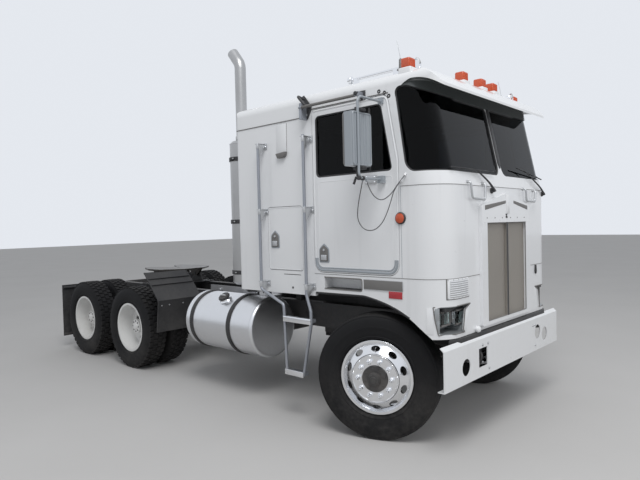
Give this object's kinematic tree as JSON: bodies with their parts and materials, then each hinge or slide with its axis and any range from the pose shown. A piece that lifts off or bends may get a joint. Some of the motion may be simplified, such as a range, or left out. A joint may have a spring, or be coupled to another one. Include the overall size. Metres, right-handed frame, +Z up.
{
  "type": "highway tractor unit",
  "caption": "Cab-over-engine highway tractor with sleeper cab, tandem drive axles, fifth wheel, tilting cab and opening doors",
  "frame": {"origin": "on the ground at the middle of the length and width", "axes": "+X forward along the vehicle, +Y to its left, +Z up"},
  "size_m": [6.82, 3, 3.8894],
  "materials": {
    "white_paint": "glossy white paint with road dust",
    "white_plastic": "white moulded mirror shells",
    "polished_alloy": "bright polished alloy",
    "rim_paint": "white paint, dusty",
    "dull_alloy": "dull brushed aluminium",
    "chrome": "bright chrome",
    "chassis_paint": "satin black chassis paint, dusty",
    "deck_plate": "raised pattern plate",
    "exhaust_steel": "heat tinted steel",
    "cast_iron": "rough casting",
    "rubber": "matte rubber",
    "tyre": "dusty black rubber",
    "mesh": "woven wire insect screen",
    "glass": "dark tinted glass",
    "lamp": "bright reflector behind clear lens",
    "amber": "amber lens",
    "red_lens": "red lens",
    "black_plastic": "grained black plastic",
    "trim": "grey moulded trim",
    "fabric": "woven grey cloth",
    "grease": "greased steel plate",
    "cord": "black rubber jacket"
  },
  "bodies": {
    "chassis": {"frame_rails": "chassis_paint", "crossmembers": "chassis_paint", "bumper": "white_paint", "engine_block": "cast_iron", "radiator": "black_plastic", "front_axle": "cast_iron", "leaf_springs": "chassis_paint", "drive_axles": "chassis_paint", "drive_suspension": "chassis_paint", "fuel_tanks": "polished_alloy", "tank_straps": "chassis_paint", "exhaust_stack": "exhaust_steel", "deck_plate": "deck_plate", "mud_guards": "rubber", "tail_lamps": "red_lens", "fifth_wheel_bracket": "chassis_paint"},
    "cab": {"cab_body": "white_paint", "roof_panel": "white_paint", "front_panel": "white_paint", "windshields": "glass", "cab_floor": "trim", "grille_surround": "white_paint", "grille_mesh": "mesh", "headlights": "lamp", "dashboard": "black_plastic", "seats": "fabric", "steering_wheel": "black_plastic", "sleeper_bunk": "fabric", "side_ladders": "dull_alloy", "marker_lamps": "amber", "air_horns": "chrome"},
    "right_door": {"right_door": "white_paint", "right_door_glass": "glass", "right_mirror": "white_plastic", "short_mirror_cord": "cord", "long_mirror_cord": "cord"},
    "left_door": {"left_door": "white_paint", "left_door_glass": "glass", "left_mirror": "white_plastic"},
    "right_luggage_door": {"right_luggage_door": "white_paint"},
    "left_luggage_door": {"left_luggage_door": "white_paint"},
    "right_knuckle": {"right_knuckle": "cast_iron"},
    "left_knuckle": {"left_knuckle": "cast_iron"},
    "tie_rod": {"tie_rod": "chassis_paint"},
    "right_front_wheel": {"right_front_tyre": "tyre", "right_front_rim": "polished_alloy", "right_front_hub": "cast_iron"},
    "left_front_wheel": {"left_front_tyre": "tyre", "left_front_rim": "polished_alloy", "left_front_hub": "cast_iron"},
    "fifth_wheel": {"fifth_wheel_plate": "grease"},
    "right_front_drive_wheel": {"right_front_drive_tyres": "tyre", "right_front_drive_rims": "rim_paint"},
    "right_rear_drive_wheel": {"right_rear_drive_tyres": "tyre", "right_rear_drive_rims": "rim_paint"},
    "left_front_drive_wheel": {"left_front_drive_tyres": "tyre", "left_front_drive_rims": "rim_paint"},
    "left_rear_drive_wheel": {"left_rear_drive_tyres": "tyre", "left_rear_drive_rims": "rim_paint"}
  },
  "joints": [
    {"name": "cab_tilt", "type": "hinge", "parent": "chassis", "child": "cab", "pos_m": [3.28, 0, 1.05], "axis": [0, 1, 0], "range_deg": [0, 60]},
    {"name": "fifth_wheel_rock", "type": "hinge", "parent": "chassis", "child": "fifth_wheel", "pos_m": [-1.98, 0, 1.13], "axis": [0, 1, 0], "range_deg": [-12, 12]},
    {"name": "right_door_hinge", "type": "hinge", "parent": "cab", "child": "right_door", "pos_m": [2.963, -1.125, 2], "axis": [0, 0, 1], "range_deg": [0, 70], "deforming": ["short_mirror_cord", "long_mirror_cord"]},
    {"name": "left_door_hinge", "type": "hinge", "parent": "cab", "child": "left_door", "pos_m": [2.963, 1.125, 2], "axis": [0, 0, -1], "range_deg": [0, 70]},
    {"name": "right_luggage_hinge", "type": "hinge", "parent": "cab", "child": "right_luggage_door", "pos_m": [1.863, -1.125, 1.741], "axis": [0, 0, 1], "range_deg": [0, 80]},
    {"name": "left_luggage_hinge", "type": "hinge", "parent": "cab", "child": "left_luggage_door", "pos_m": [1.863, 1.125, 1.741], "axis": [0, 0, -1], "range_deg": [0, 80]},
    {"name": "right_kingpin", "type": "hinge", "parent": "chassis", "child": "right_knuckle", "pos_m": [2.62, -0.89, 0.545], "axis": [0, 0, 1], "range_deg": [-55, 15]},
    {"name": "left_kingpin", "type": "hinge", "parent": "chassis", "child": "left_knuckle", "pos_m": [2.62, 0.89, 0.545], "axis": [0, 0, 1], "range_deg": [-55, 15]},
    {"name": "tie_rod_pivot", "type": "hinge", "parent": "right_knuckle", "child": "tie_rod", "pos_m": [2.43206, -0.9584, 0.455], "axis": [0, 0, 1], "range_deg": [-15, 55]},
    {"name": "right_front_spin", "type": "hinge", "parent": "right_knuckle", "child": "right_front_wheel", "pos_m": [2.66788, -1.02156, 0.545], "axis": [-0.342, 0.9397, 0], "continuous": true},
    {"name": "right_front_drive_spin", "type": "hinge", "parent": "chassis", "child": "right_front_drive_wheel", "pos_m": [-1.366, -0.908, 0.545], "axis": [0, 1, 0], "continuous": true},
    {"name": "right_rear_drive_spin", "type": "hinge", "parent": "chassis", "child": "right_rear_drive_wheel", "pos_m": [-2.687, -0.908, 0.545], "axis": [0, 1, 0], "continuous": true},
    {"name": "left_front_spin", "type": "hinge", "parent": "left_knuckle", "child": "left_front_wheel", "pos_m": [2.57212, 1.02156, 0.545], "axis": [-0.342, 0.9397, 0], "continuous": true},
    {"name": "left_front_drive_spin", "type": "hinge", "parent": "chassis", "child": "left_front_drive_wheel", "pos_m": [-1.366, 0.908, 0.545], "axis": [0, 1, 0], "continuous": true},
    {"name": "left_rear_drive_spin", "type": "hinge", "parent": "chassis", "child": "left_rear_drive_wheel", "pos_m": [-2.687, 0.908, 0.545], "axis": [0, 1, 0], "continuous": true}
  ],
  "couplings": [
    {"joint": "left_kingpin", "follows": "right_kingpin", "ratio": 1},
    {"joint": "tie_rod_pivot", "follows": "right_kingpin", "ratio": -1}
  ]
}
